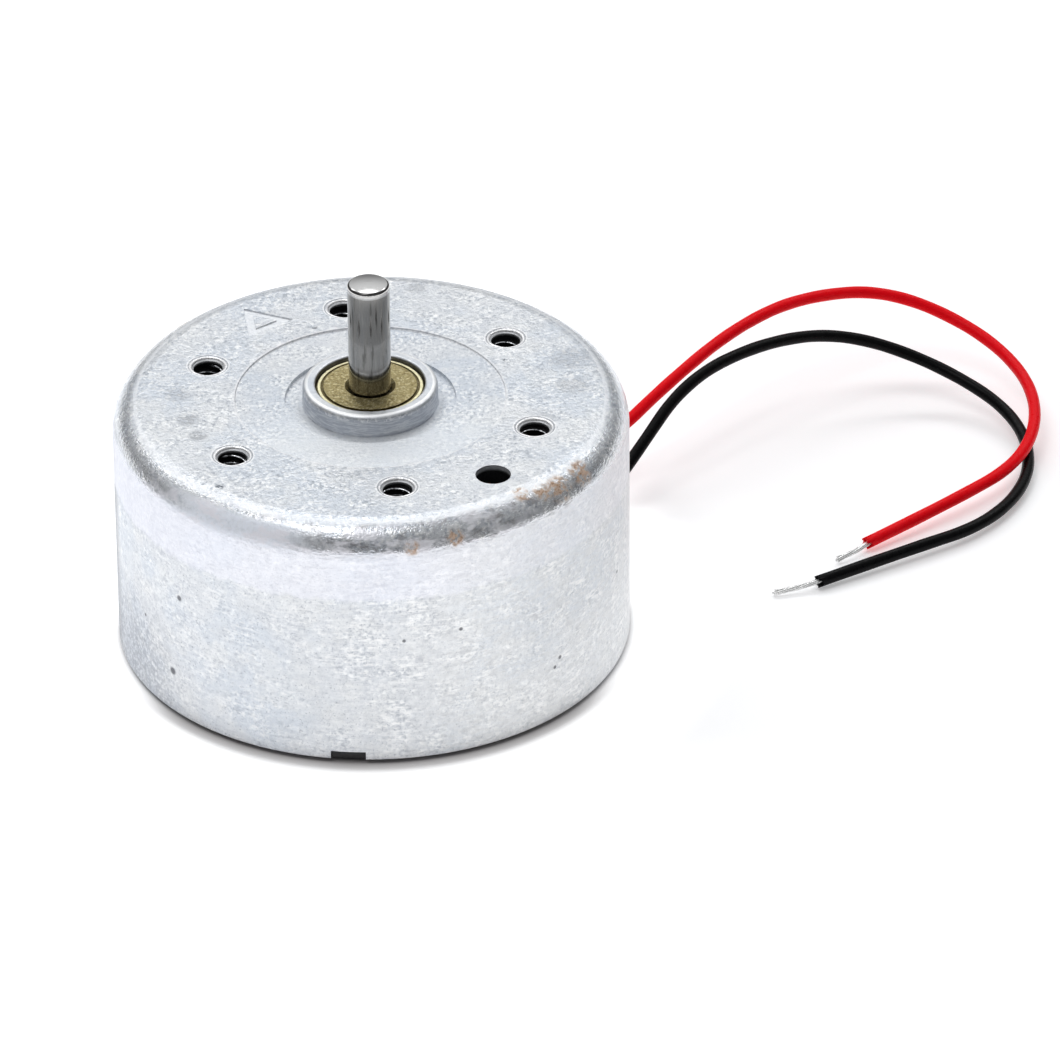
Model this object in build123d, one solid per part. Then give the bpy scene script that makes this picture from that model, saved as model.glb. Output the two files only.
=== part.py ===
"""Flat brushed DC motor, 24.4 mm across, with a plain 2 mm shaft and two hook-up leads.

Millimetres. The origin is the centre of the rear resting face, +Z runs along the shaft
towards the output end. Each separate piece is written to parts/NODE.step.
"""

import math
import os

from build123d import *

# ---- driving dimensions ----------------------------------------------------------------

CAN_R = 12.2  # outside radius of the steel can
CAN_WALL = 0.9
CAN_CORNER_R = 1.5  # outside radius of the drawn corner
CAN_CORNER_INNER_R = 0.7
RIM_Z = 0.25  # the cap stands this far out of the can
PLATE_Z = 12.7  # mounting plate, outer face
PLATE_UNDER_Z = 11.75  # mounting plate, inner face
DISH_OUTER_R = 6.4  # first shallow step of the plate
DISH_OUTER_DEPTH = 0.1
DISH_INNER_R = 4.05  # second step, round the boss
DISH_INNER_DEPTH = 0.3
STEP_EDGE_R = 0.05  # rounding of the two steps
PAST = 1.0  # how far a cutting tool runs past the face it cuts

BOSS_R = 3.2
BOSS_TOP_Z = 13.48
BOSS_EDGE_R = 0.24
BOSS_MOUTH_R = 0.1  # rounding of the boss's inner rim
SHAFT_R = 1.0
RUNNING_CLEARANCE = 0.03
SHAFT_TOP_Z = 18.94
SHAFT_BOTTOM_Z = 0.55
SHAFT_EDGE_R = 0.15
SHAFT_CROWN_R = 4.5  # crowned front end
RELIEF_R = 0.84  # oil relief of the shaft, inside the front bearing
RELIEF_LENGTH = 0.7
RELIEF_ABOVE_BEARING = 0.02

BEARING_R = 2.6  # front bearing, outside
BEARING_TOP_Z = 13.3
BEARING_BOTTOM_Z = 10.9
BEARING_MOUTH = (0.17, 0.17)  # width and depth of the bore's chamfer
BEARING_GROOVE_R = (2.22, 2.34)  # ring groove in the bush's face
BEARING_GROOVE_DEPTH = 0.08
BEARING_RIM_DROP = 0.03
BEARING_EDGE = 0.15  # chamfer round the face, which leaves a dark gap inside the boss

SCREW_COUNT = 6
SCREW_CIRCLE_R = 8.25
SCREW_BORE_R = 0.7
SCREW_SINK_R = 0.92
SCREW_SINK_DEPTH = 0.16
SCREW_FIRST_ANGLE = 38.2
SCREW_COLLAR_R = 1.15  # inward drawn collar that carries the thread
SCREW_COLLAR_DEPTH = 0.5
LOCATING_R = 0.83  # plain locating hole
LOCATING_CIRCLE_R = 9.17
LOCATING_ANGLE = -52.1

NOTCH_WIDTH = 1.65  # two opposite notches of the rim
NOTCH_HEIGHT = 0.4
NOTCH_ANGLES = (-96.4, 83.6)
TERMINAL_ANGLE = 45.0  # the side where the terminals come out
WINDOW_WIDTH = 7.6
WINDOW_TOP_Z = 1.8

MARK_R = 8.73  # stamped triangle on the plate
MARK_ANGLE = 125.8
MARK_SIZE = 1.5
MARK_LINE = 0.4
MARK_DEPTH = 0.07

CAP_R = 11.25
CAP_FLOOR_Z = 1.3
CAP_SKIRT_INNER_R = 10.3
CAP_SKIRT_Z = 2.9
CAP_HOUSING_R = 3.2
CAP_HOUSING_Z = 2.3
CAP_EAR_R = 11.95
CAP_BLOCK_R = 12.6
CAP_EDGE = 0.15
CAP_FIT = 0.05  # play of the cap's ears and block in the can's cut-outs
CAP_RECESS_R = (4.2, 9.4)  # shallow ring recess of the rear face
CAP_RECESS_DEPTH = 0.2
CAP_SPOT_R = 0.9  # three raised moulding spots in that recess
CAP_SPOT_CIRCLE_R = 6.8
CAP_SPOT_HEIGHT = 0.12

REAR_BEARING_R = 1.9
REAR_BEARING_Z = (0.45, 2.3)
THRUST_R = 2.4
THRUST_Z = (0.1, 0.45)
THRUST_EDGE_R = 0.1

MAGNET_OUTER_R = 11.25
MAGNET_INNER_R = 9.4
MAGNET_Z = (3.0, 10.9)
MAGNET_GAP = 0.5
MAGNET_GAP_ANGLE = 200.0

POLES = 3
CORE_R = 8.9
CORE_SHOE_INNER_R = 7.7
CORE_SHOE_ANGLE = 100.0
CORE_HUB_R = 3.2
CORE_STEM_WIDTH = 2.6
CORE_FIRST_ANGLE = 90.0
LAMINATION_COUNT = 8
LAMINATION_THICKNESS = 0.5
CORE_BOTTOM_Z = 4.9
INSULATOR_THICKNESS = 0.3
INSULATOR_INSET = 0.25

COIL_INNER_X = 3.75
COIL_OUTER_X = 7.1
COIL_BUILD = 1.1  # thickness of the wire bundle
COIL_CLEARANCE = 0.02
COIL_CORNER_R = 1.0
COIL_EDGE_R = 0.4

SLEEVE_R = 1.45
SLEEVE_Z = (2.6, 4.55)
SEGMENT_INNER_R = 1.47
SEGMENT_R = 1.85
SEGMENT_GAP_ANGLE = 5.0
SEGMENT_Z = (2.7, 3.7)
RISER_Z = (3.7, 3.9)
RISER_R = 3.6
RISER_WIDTH = 1.2
RISER_SHELF = 0.3  # width of the step that the varistor rests on
VARISTOR_R = (2.1, 3.5)
VARISTOR_Z = (3.95, 4.5)

SPACER_R = 1.8
SPACER_Z = (9.2, 10.35)
STEEL_WASHER_R = 2.0
STEEL_WASHER_Z = (10.4, 10.6)
NYLON_WASHER_R = 2.2
NYLON_WASHER_Z = (10.65, 10.85)
REAR_WASHER_R = 1.8
REAR_WASHER_Z = (2.35, 2.55)
WASHER_BORE_R = 1.05

BRUSH_OFFSET = 2.0  # side distance of each terminal from the middle of the block
LEAF_THICKNESS = 0.12
LEAF_Z = (2.75, 3.38)
LEAF_CONTACT_GAP = 0.04
LEAF_X = (-1.5, 7.6)
LEAF_SLOT = 0.12
LEAF_SLOT_END_X = 3.0
LEAF_LEG_LENGTH = 1.0
DAMPER_X = (2.2, 3.8)
DAMPER_THICKNESS = 0.6
DAMPER_INSET = 0.05
DAMPER_EDGE_R = 0.12

TERMINAL_X = (6.5, 14.0)
TERMINAL_WIDTH = 1.2
TERMINAL_Z = (0.8, 1.1)
TERMINAL_CORNER_R = 0.3
CHANNEL_CLEARANCE = 0.04
CHANNEL_OPEN_X = 9.8
SOLDER_X = 13.2
SOLDER_RADIUS = 0.6
SOLDER_FLAT = 0.75  # height of the blob over its radius
SOLDER_NARROW = 0.95  # width of the blob over its radius

LEAD_R = 0.3
STRAND_R = 0.14
ARC_SHARE = 0.45  # share of the shorter run that an arc takes

BLACK_ROUTE = [
    (11.0, 8.2, 1.3),
    (12.7, 10.5, 2.5),
    (15.4, 14.0, 4.8),
    (19.4, 17.5, 4.8),
    (23.4, 19.9, 3.8),
    (27.9, 19.9, 2.0),
    (31.8, 16.7, 0.9),
    (32.4, 11.8, 0.5),
    (30.0, 7.2, 0.5),
    (25.6, 4.6, 0.6),
    (21.3, 2.3, 0.4),
]
RED_ROUTE = [
    (8.2, 11.0, 1.3),
    (11.3, 11.9, 2.4),
    (14.6, 14.5, 4.4),
    (18.0, 18.7, 4.9),
    (21.4, 21.6, 4.9),
    (26.0, 24.0, 3.8),
    (30.8, 22.0, 2.2),
    (33.0, 17.2, 1.6),
    (32.0, 12.0, 1.1),
    (27.8, 8.4, 0.8),
    (23.8, 5.6, 0.45),
]
BLACK_TIP_END = (19.1, 1.7, 0.2)
RED_TIP_END = (22.3, 4.5, 0.25)

# ---- small helpers ---------------------------------------------------------------------

UP = (Align.CENTER, Align.CENTER, Align.MIN)


def disc(radius, low, high):
    """Solid cylinder on the axis between two heights."""
    return Pos(0, 0, low) * Cylinder(radius, high - low, align=UP)


def ring(inner, outer, low, high):
    """Plain ring on the axis between two heights."""
    return disc(outer, low, high) - disc(inner, low - PAST, high + PAST)


def block(x_range, y_range, z_range):
    """Box between two corners, given as three pairs."""
    size = [high - low for low, high in (x_range, y_range, z_range)]
    middle = [(low + high) / 2 for low, high in (x_range, y_range, z_range)]
    return Pos(*middle) * Box(*size)


def sector(inner, outer, low, high, start, sweep_angle):
    """Part of a ring, starting at an angle and turning by the right-hand rule."""
    outline = Plane.XZ * Polyline((inner, low), (outer, low), (outer, high), (inner, high), close=True)
    return Rot(0, 0, start) * revolve(make_face(outline), Axis.Z, revolution_arc=sweep_angle)


def at_angle(angle, radius=0.0, z=0.0):
    """Placement on a circle round the axis, turned to face outwards."""
    return Rot(0, 0, angle) * Pos(radius, 0, z)


def save(name, shape):
    """Write one sub-part as a STEP file named after its node."""
    export_step(shape, os.path.join("parts", name + ".step"))


# ---- can -------------------------------------------------------------------------------


def screw_angles():
    return [SCREW_FIRST_ANGLE + 360 / SCREW_COUNT * index for index in range(SCREW_COUNT)]


def plate_mark():
    """Outline of a small triangle, stamped as a shallow groove."""
    outside = RegularPolygon(MARK_SIZE, 3)
    inside = offset(outside, -MARK_LINE)
    groove = extrude(outside - inside, MARK_DEPTH)
    return at_angle(MARK_ANGLE, MARK_R, PLATE_Z - MARK_DEPTH) * groove


def shallow_step(radius, depth):
    """Cutter for one step of the plate, which leaves a rounded foot."""
    cutter = disc(radius, PLATE_Z - depth, PLATE_Z + PAST)
    return fillet(cutter.edges().group_by(Axis.Z)[0], STEP_EDGE_R)


def boss_blank():
    """Drawn collar that holds the front bearing, its outer rim rounder than its inner one."""
    collar = ring(BEARING_R, BOSS_R, PLATE_UNDER_Z, BOSS_TOP_Z)
    inner_rim = collar.edges().group_by(Axis.Z)[-1].sort_by(SortBy.LENGTH)[0]
    collar = fillet(inner_rim, BOSS_MOUTH_R)
    outer_rim = collar.edges().group_by(Axis.Z)[-1].sort_by(SortBy.LENGTH)[-1]
    return fillet(outer_rim, BOSS_EDGE_R)


def make_can():
    """Deep-drawn cup: wall, mounting plate, boss, holes and rim cut-outs."""
    outside = disc(CAN_R, RIM_Z, PLATE_Z)
    outside = fillet(outside.edges().group_by(Axis.Z)[-1], CAN_CORNER_R)
    inside = disc(CAN_R - CAN_WALL, RIM_Z - PAST, PLATE_UNDER_Z)
    inside = fillet(inside.edges().group_by(Axis.Z)[-1], CAN_CORNER_INNER_R)
    can = outside - inside
    can -= shallow_step(DISH_OUTER_R, DISH_OUTER_DEPTH)
    can -= shallow_step(DISH_INNER_R, DISH_INNER_DEPTH)
    can += boss_blank()
    can -= disc(BEARING_R, PLATE_UNDER_Z - PAST, BOSS_TOP_Z + PAST)
    collar_low = PLATE_UNDER_Z - SCREW_COLLAR_DEPTH
    for angle in screw_angles():
        can += at_angle(angle, SCREW_CIRCLE_R) * disc(SCREW_COLLAR_R, collar_low, PLATE_UNDER_Z)
    for angle in screw_angles():
        place = at_angle(angle, SCREW_CIRCLE_R)
        can -= place * disc(SCREW_BORE_R, collar_low - PAST, PLATE_Z + PAST)
        sink = Cone(SCREW_BORE_R, SCREW_SINK_R, SCREW_SINK_DEPTH, align=UP)
        can -= place * Pos(0, 0, PLATE_Z - SCREW_SINK_DEPTH) * sink
    locating_tool = disc(LOCATING_R, PLATE_UNDER_Z - PAST, PLATE_Z + PAST)
    can -= at_angle(LOCATING_ANGLE, LOCATING_CIRCLE_R) * locating_tool
    radial = (CAN_R - 2 * CAN_WALL, CAN_R + PAST)
    notch = block(radial, (-NOTCH_WIDTH / 2, NOTCH_WIDTH / 2), (RIM_Z - PAST, RIM_Z + NOTCH_HEIGHT))
    for angle in NOTCH_ANGLES:
        can -= Rot(0, 0, angle) * notch
    window = block(radial, (-WINDOW_WIDTH / 2, WINDOW_WIDTH / 2), (RIM_Z - PAST, WINDOW_TOP_Z))
    can -= Rot(0, 0, TERMINAL_ANGLE) * window
    can -= plate_mark()
    return can


# ---- bearings and what sets the end play -----------------------------------------------


def make_front_bearing():
    """Sintered bush, staked at its rim, with a ring groove in its face."""
    bore_r = SHAFT_R + RUNNING_CLEARANCE
    bush = ring(bore_r, BEARING_R, BEARING_BOTTOM_Z, BEARING_TOP_Z)
    face_edge = bush.edges().group_by(Axis.Z)[-1].sort_by(SortBy.LENGTH)[-1]
    bush = chamfer(face_edge, BEARING_EDGE)
    mouth_width, mouth_depth = BEARING_MOUTH
    mouth = Cone(bore_r, bore_r + mouth_width, mouth_depth, align=UP)
    bush -= Pos(0, 0, BEARING_TOP_Z - mouth_depth) * mouth
    bush -= ring(*BEARING_GROOVE_R, BEARING_TOP_Z - BEARING_GROOVE_DEPTH, BEARING_TOP_Z + PAST)
    rim_z = BEARING_TOP_Z - BEARING_RIM_DROP
    return bush - ring(BEARING_GROOVE_R[1], BEARING_R + PAST, rim_z, BEARING_TOP_Z + PAST)


def make_rear_bearing():
    return ring(SHAFT_R + RUNNING_CLEARANCE, REAR_BEARING_R, *REAR_BEARING_Z)


def make_thrust_plate():
    """Steel disc pressed into the cap, which the shaft's rear end runs against."""
    plate = disc(THRUST_R, *THRUST_Z)
    return fillet(plate.edges().group_by(Axis.Z)[0], THRUST_EDGE_R)


def make_shaft():
    """Shaft with a crowned front end, rounded edges and an oil relief inside the front bearing."""
    shaft = disc(SHAFT_R, SHAFT_BOTTOM_Z, SHAFT_TOP_Z)
    crown = Pos(0, 0, SHAFT_TOP_Z - SHAFT_CROWN_R) * Sphere(SHAFT_CROWN_R)
    shaft -= disc(SHAFT_R + PAST, SHAFT_TOP_Z - PAST, SHAFT_TOP_Z + PAST) - crown
    circles = [edge for edge in shaft.edges() if edge.is_closed and edge.length > SHAFT_R]
    shaft = fillet(max(circles, key=lambda edge: edge.position_at(0).Z), SHAFT_EDGE_R)
    shaft = fillet(shaft.edges().group_by(Axis.Z)[0], SHAFT_EDGE_R)
    relief_top = BEARING_TOP_Z + RELIEF_ABOVE_BEARING
    return shaft - ring(RELIEF_R, SHAFT_R + PAST, relief_top - RELIEF_LENGTH, relief_top)


# ---- cap, magnet, terminals, brushes ---------------------------------------------------


def terminal_frame(side):
    """Placement of one side's terminal and brush, with X pointing out of the block."""
    return Rot(0, 0, TERMINAL_ANGLE) * Pos(0, side * BRUSH_OFFSET, 0)


def terminal_slot():
    """Channel that one terminal lies in: open inside the cap, closed through its wall."""
    half = TERMINAL_WIDTH / 2 + CHANNEL_CLEARANCE
    low, high = TERMINAL_Z
    inner = (TERMINAL_X[0] - CHANNEL_CLEARANCE, CHANNEL_OPEN_X)
    outer = (CHANNEL_OPEN_X, CAP_BLOCK_R + PAST)
    channel = block(inner, (-half, half), (low, CAP_FLOOR_Z + PAST))
    return channel + block(outer, (-half, half), (low, high + CHANNEL_CLEARANCE))


def make_end_cap():
    """Moulded rear cap: floor, skirt, bearing housing, ears and terminal block."""
    cap = disc(CAP_R, 0, CAP_SKIRT_Z) - disc(CAP_SKIRT_INNER_R, CAP_FLOOR_Z, CAP_SKIRT_Z + PAST)
    cap = chamfer(cap.edges().group_by(Axis.Z)[0], CAP_EDGE)
    cap += disc(CAP_HOUSING_R, CAP_FLOOR_Z, CAP_HOUSING_Z)
    cap -= ring(*CAP_RECESS_R, -PAST, CAP_RECESS_DEPTH)
    for angle in pole_angles():
        spot = disc(CAP_SPOT_R, CAP_RECESS_DEPTH - CAP_SPOT_HEIGHT, CAP_RECESS_DEPTH)
        cap += at_angle(angle, CAP_SPOT_CIRCLE_R) * spot
    ear_side = NOTCH_WIDTH / 2 - CAP_FIT
    ear_z = (CAP_EDGE, RIM_Z + NOTCH_HEIGHT - CAP_FIT)
    ear = block((CAP_SKIRT_INNER_R, CAP_EAR_R), (-ear_side, ear_side), ear_z)
    for angle in NOTCH_ANGLES:
        cap += Rot(0, 0, angle) * ear
    block_side = WINDOW_WIDTH / 2 - 2 * CAP_FIT
    block_z = (CAP_EDGE, WINDOW_TOP_Z - CAP_FIT)
    terminal_block = block((CAP_SKIRT_INNER_R, CAP_BLOCK_R), (-block_side, block_side), block_z)
    cap += Rot(0, 0, TERMINAL_ANGLE) * terminal_block
    for side in (-1, 1):
        cap -= terminal_frame(side) * terminal_slot()
    cap -= disc(REAR_BEARING_R, -PAST, CAP_HOUSING_Z + PAST)
    cap -= disc(THRUST_R, -PAST, THRUST_Z[1])
    return cap


def make_ring_magnet():
    """Rolled magnet strip with one butt gap."""
    gap_angle = math.degrees(MAGNET_GAP / MAGNET_OUTER_R)
    return sector(MAGNET_INNER_R, MAGNET_OUTER_R, *MAGNET_Z, MAGNET_GAP_ANGLE, 360 - gap_angle)


def make_terminal(side):
    """Flat tinned tab, rounded at its outer end."""
    half = TERMINAL_WIDTH / 2
    tab = block(TERMINAL_X, (-half, half), TERMINAL_Z)
    outer_corners = tab.edges().filter_by(Axis.Z).group_by(Axis.X)[-1]
    return terminal_frame(side) * fillet(outer_corners, TERMINAL_CORNER_R)


def make_terminal_solder(side):
    """Solder blob that holds the lead's strands on the tab."""
    blob = scale(Sphere(SOLDER_RADIUS), by=(1.0, SOLDER_NARROW, SOLDER_FLAT))
    blob = Pos(SOLDER_X, 0, TERMINAL_Z[1]) * blob
    blob -= disc(TERMINAL_X[1] + PAST, -PAST, TERMINAL_Z[1])
    return terminal_frame(side) * blob


def leaf_centre(side):
    """Side distance of a leaf's middle plane from the shaft, on either side."""
    return side * (SEGMENT_R + LEAF_CONTACT_GAP + LEAF_THICKNESS / 2)


def make_brush_leaf(side):
    """Sprung strip with two fingers on the commutator and a leg on the terminal."""
    middle = leaf_centre(side)
    thickness = (middle - LEAF_THICKNESS / 2, middle + LEAF_THICKNESS / 2)
    leaf = block(LEAF_X, thickness, LEAF_Z)
    leg_x = (LEAF_X[1] - LEAF_LEG_LENGTH, LEAF_X[1])
    leaf += block(leg_x, thickness, (TERMINAL_Z[1], LEAF_Z[1]))
    slot_middle = (LEAF_Z[0] + LEAF_Z[1]) / 2
    slot = (slot_middle - LEAF_SLOT / 2, slot_middle + LEAF_SLOT / 2)
    leaf -= block((LEAF_X[0] - PAST, LEAF_SLOT_END_X), (middle - PAST, middle + PAST), slot)
    return Rot(0, 0, TERMINAL_ANGLE) * leaf


def make_brush_damper(side):
    """Rubber pad on the back of a leaf, which stops it from ringing."""
    near = leaf_centre(side) + side * LEAF_THICKNESS / 2
    far = near + side * DAMPER_THICKNESS
    pad_z = (LEAF_Z[0] + DAMPER_INSET, LEAF_Z[1] - DAMPER_INSET)
    pad = block(DAMPER_X, (min(near, far), max(near, far)), pad_z)
    return Rot(0, 0, TERMINAL_ANGLE) * fillet(pad.edges().filter_by(Axis.Z), DAMPER_EDGE_R)


# ---- armature --------------------------------------------------------------------------


def pole_angles():
    return [CORE_FIRST_ANGLE + 360 / POLES * index for index in range(POLES)]


def pole_shape(shoe_outer):
    """Flat outline of the three-pole core with its shaft hole."""
    shoe_inner, hub = CORE_SHOE_INNER_R, CORE_HUB_R
    outline = Circle(hub)
    shoes = Circle(shoe_outer) - Circle(shoe_inner)
    half = math.radians(CORE_SHOE_ANGLE / 2)
    reach = 2 * CORE_R
    side_x, side_y = reach * math.cos(half), reach * math.sin(half)
    wedge = make_face(Polyline((0, 0), (side_x, -side_y), (2 * reach, 0), (side_x, side_y), close=True))
    for angle in pole_angles():
        outline += Rot(0, 0, angle) * (shoes & wedge)
        stem = Rectangle(shoe_inner, CORE_STEM_WIDTH, align=(Align.MIN, Align.CENTER))
        stem_end = Circle((shoe_inner + shoe_outer) / 2)
        outline += Rot(0, 0, angle) * (Pos(hub / 2, 0) * stem & stem_end)
    return outline - Circle(SHAFT_R)


def make_lamination(index):
    low = CORE_BOTTOM_Z + LAMINATION_THICKNESS * index
    return Pos(0, 0, low) * extrude(pole_shape(CORE_R), LAMINATION_THICKNESS)


def core_top_z():
    return CORE_BOTTOM_Z + LAMINATION_COUNT * LAMINATION_THICKNESS


def make_insulator(low):
    """End plate between the core and the wire, a little inside the core's outline."""
    return Pos(0, 0, low) * extrude(pole_shape(CORE_R - INSULATOR_INSET), INSULATOR_THICKNESS)


def make_winding(angle):
    """One coil: a rounded bundle of wire round one pole's stem."""
    low = CORE_BOTTOM_Z - INSULATOR_THICKNESS - COIL_CLEARANCE
    high = core_top_z() + INSULATOR_THICKNESS + COIL_CLEARANCE
    width = CORE_STEM_WIDTH + 2 * COIL_CLEARANCE
    section_plane = Plane(origin=(COIL_INNER_X, 0, (low + high) / 2), x_dir=(0, 1, 0), z_dir=(1, 0, 0))
    bundle = RectangleRounded(width + 2 * COIL_BUILD, high - low + 2 * COIL_BUILD, COIL_CORNER_R)
    coil = extrude(section_plane * bundle, COIL_OUTER_X - COIL_INNER_X)
    rims = coil.edges().group_by(Axis.X)
    coil = fillet(rims[0] + rims[-1], COIL_EDGE_R)
    hole = extrude(section_plane * Rectangle(width, high - low), COIL_OUTER_X - COIL_INNER_X)
    return Rot(0, 0, angle) * (coil - hole)


def make_commutator_sleeve():
    """Insulating sleeve, pressed on the shaft, that carries the segments."""
    return ring(SHAFT_R, SLEEVE_R, *SLEEVE_Z)


def segment_start(index):
    return CORE_FIRST_ANGLE + 360 / POLES * index + SEGMENT_GAP_ANGLE / 2


def make_segment(index):
    """Copper segment with the riser that its coil ends are soldered to."""
    span = 360 / POLES - SEGMENT_GAP_ANGLE
    barrel = sector(SEGMENT_INNER_R, SEGMENT_R, *SEGMENT_Z, segment_start(index), span)
    foot = sector(SEGMENT_INNER_R, SEGMENT_R + RISER_SHELF, *RISER_Z, segment_start(index), span)
    half = RISER_WIDTH / 2
    riser = block((SEGMENT_R, RISER_R), (-half, half), RISER_Z)
    riser = Rot(0, 0, segment_start(index) + span / 2) * riser
    return barrel + foot + riser


def make_varistor():
    return ring(*VARISTOR_R, *VARISTOR_Z)


# ---- leads -----------------------------------------------------------------------------


def arc_radii(route):
    """Arc radius at each inner point of a route, as large as its two runs allow."""
    points = [Vector(*point) for point in route]
    radii = []
    for before, here, after in zip(points, points[1:], points[2:]):
        run_in, run_out = here - before, after - here
        half_turn = math.radians(run_in.get_angle(run_out)) / 2
        radii.append(ARC_SHARE * min(run_in.length, run_out.length) / math.tan(half_turn))
    return radii


def make_lead(name, route):
    """Insulated wire: straight runs joined by tangent arcs."""
    radii = arc_radii(route)
    path = FilletPolyline(*route, radius=radii)
    start = Plane(origin=route[0], z_dir=Vector(*route[1]) - Vector(*route[0]))
    wire = sweep(start * Circle(LEAD_R), path=path)
    expected = math.pi * LEAD_R**2 * path.length
    print(name, "length", round(path.length, 2), "radii", [round(radius, 1) for radius in radii])
    print(name, "volume", round(wire.volume, 3), "section times length", round(expected, 3))
    return wire


def make_lead_tip(route, end):
    """Stripped and tinned strands, from the end of the insulation."""
    axis = Vector(*end) - Vector(*route[-1])
    return Plane(origin=route[-1], z_dir=axis) * Cylinder(STRAND_R, axis.length, align=UP)


# ---- all pieces ------------------------------------------------------------------------


def stator_parts():
    parts = {
        "can": make_can(),
        "front_bearing": make_front_bearing(),
        "rear_bearing": make_rear_bearing(),
        "thrust_plate": make_thrust_plate(),
        "end_cap": make_end_cap(),
        "ring_magnet": make_ring_magnet(),
        "lead_black": make_lead("lead_black", BLACK_ROUTE),
        "lead_red": make_lead("lead_red", RED_ROUTE),
        "lead_black_tip": make_lead_tip(BLACK_ROUTE, BLACK_TIP_END),
        "lead_red_tip": make_lead_tip(RED_ROUTE, RED_TIP_END),
    }
    for letter, side in (("a", -1), ("b", 1)):
        parts["terminal_" + letter] = make_terminal(side)
        parts["terminal_solder_" + letter] = make_terminal_solder(side)
        parts["brush_leaf_" + letter] = make_brush_leaf(side)
        parts["brush_damper_" + letter] = make_brush_damper(side)
    return parts


def rotor_parts():
    parts = {
        "shaft": make_shaft(),
        "core_insulator_rear": make_insulator(CORE_BOTTOM_Z - INSULATOR_THICKNESS),
        "core_insulator_front": make_insulator(core_top_z()),
        "commutator_sleeve": make_commutator_sleeve(),
        "varistor_ring": make_varistor(),
        "spacer_sleeve": ring(SHAFT_R, SPACER_R, *SPACER_Z),
        "front_washer_steel": ring(WASHER_BORE_R, STEEL_WASHER_R, *STEEL_WASHER_Z),
        "front_washer_nylon": ring(WASHER_BORE_R, NYLON_WASHER_R, *NYLON_WASHER_Z),
        "rear_washer": ring(WASHER_BORE_R, REAR_WASHER_R, *REAR_WASHER_Z),
    }
    for index in range(LAMINATION_COUNT):
        parts["core_lamination_%02d" % (index + 1)] = make_lamination(index)
    for index, angle in enumerate(pole_angles()):
        parts["winding_%d" % (index + 1)] = make_winding(angle)
        parts["commutator_segment_%d" % (index + 1)] = make_segment(index)
    return parts


def main():
    os.makedirs("parts", exist_ok=True)
    for name, shape in {**stator_parts(), **rotor_parts()}.items():
        save(name, shape)


main()
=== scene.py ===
"""Looks of the flat brushed motor: camera, leads, finishes, light and floor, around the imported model."""

import functools
import math
import random
from types import SimpleNamespace

import bpy
from mathutils import Matrix, Vector


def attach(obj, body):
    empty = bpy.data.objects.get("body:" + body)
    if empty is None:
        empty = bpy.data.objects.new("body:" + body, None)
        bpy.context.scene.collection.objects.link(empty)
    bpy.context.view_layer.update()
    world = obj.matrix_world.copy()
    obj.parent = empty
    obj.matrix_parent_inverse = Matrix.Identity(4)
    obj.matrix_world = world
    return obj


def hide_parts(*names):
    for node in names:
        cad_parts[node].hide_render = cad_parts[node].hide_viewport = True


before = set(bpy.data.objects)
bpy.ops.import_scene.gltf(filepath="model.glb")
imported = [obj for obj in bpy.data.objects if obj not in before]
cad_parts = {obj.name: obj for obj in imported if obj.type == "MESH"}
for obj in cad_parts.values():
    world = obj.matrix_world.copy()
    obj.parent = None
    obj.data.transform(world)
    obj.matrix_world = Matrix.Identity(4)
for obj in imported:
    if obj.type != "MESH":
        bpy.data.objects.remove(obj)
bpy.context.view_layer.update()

MM = 0.001

# Camera, in millimetres and degrees.
CAMERA_PLACE = Vector((0.0, -384.19, 245.51))
CAMERA_TARGET = Vector((7.46, 0.0, 5.09))
CAMERA_ROLL = -0.525
CAMERA_LENS = 323.86

# Leads: routes repeated from the part's source, in millimetres.
LEAD_R = 0.3
LEAD_BORE_R = 0.17
STRAND_BUNDLE_R = 0.14
STRAND_R = 0.066
STRANDS_IN_RING = 5
STRAND_PITCH = 5.5  # length of one turn of the twist
STRAND_SAG = 0.1
STRAND_STEPS = 40
STRAND_HIDDEN = 0.45  # length of the strands inside the jacket
JACKET_SIDES = 28
BLACK_ROUTE = [
    (11.0, 8.2, 1.3), (12.7, 10.5, 2.5), (15.4, 14.0, 4.8), (19.4, 17.5, 4.8),
    (23.4, 19.9, 3.8), (27.9, 19.9, 2.0), (31.8, 16.7, 0.9), (32.4, 11.8, 0.5),
    (30.0, 7.2, 0.5), (25.6, 4.6, 0.6), (21.3, 2.3, 0.4),
]
BLACK_TIP = (19.1, 1.7, 0.2)
RED_ROUTE = [
    (8.2, 11.0, 1.3), (11.3, 11.9, 2.4), (14.6, 14.5, 4.4), (18.0, 18.7, 4.9),
    (21.4, 21.6, 4.9), (26.0, 24.0, 3.8), (30.8, 22.0, 2.2), (33.0, 17.2, 1.6),
    (32.0, 12.0, 1.1), (27.8, 8.4, 0.8), (23.8, 5.6, 0.45),
]
RED_TIP = (22.3, 4.5, 0.25)

# Can and plate, in millimetres: the places that patterns and added pieces follow.
CAN_R = 12.2
CORNER_R = 1.5
PLATE_Z = 12.7
CORNER_CENTRE_R = CAN_R - CORNER_R
CORNER_CENTRE_Z = PLATE_Z - CORNER_R
DISH_R = 6.4
BOSS_R = 3.2
BOSS_TOP_Z = 13.48
SCREW_CIRCLE_R = 8.25
SCREW_FIRST_ANGLE = 38.2
SCREW_COUNT = 6
SCREW_R = 0.7
THREAD_PITCH = 0.35
THREAD_CREST = 0.11  # height of the ridge
THREAD_LOW_Z = 11.3
THREAD_HIGH_Z = 12.32
THREAD_STEPS = 40  # faces in one turn of the ridge
LIP_R = 0.86
LIP_THICK = 0.095
LIP_Z = 12.6
LIP_STEPS = (72, 12)  # faces round the bore and round the lip's section

# Zinc: how metallic it is where sound, and where dull and under painted highlights.
ZINC_METALLIC = 0.74
DULL_METALLIC = 0.2

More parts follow.
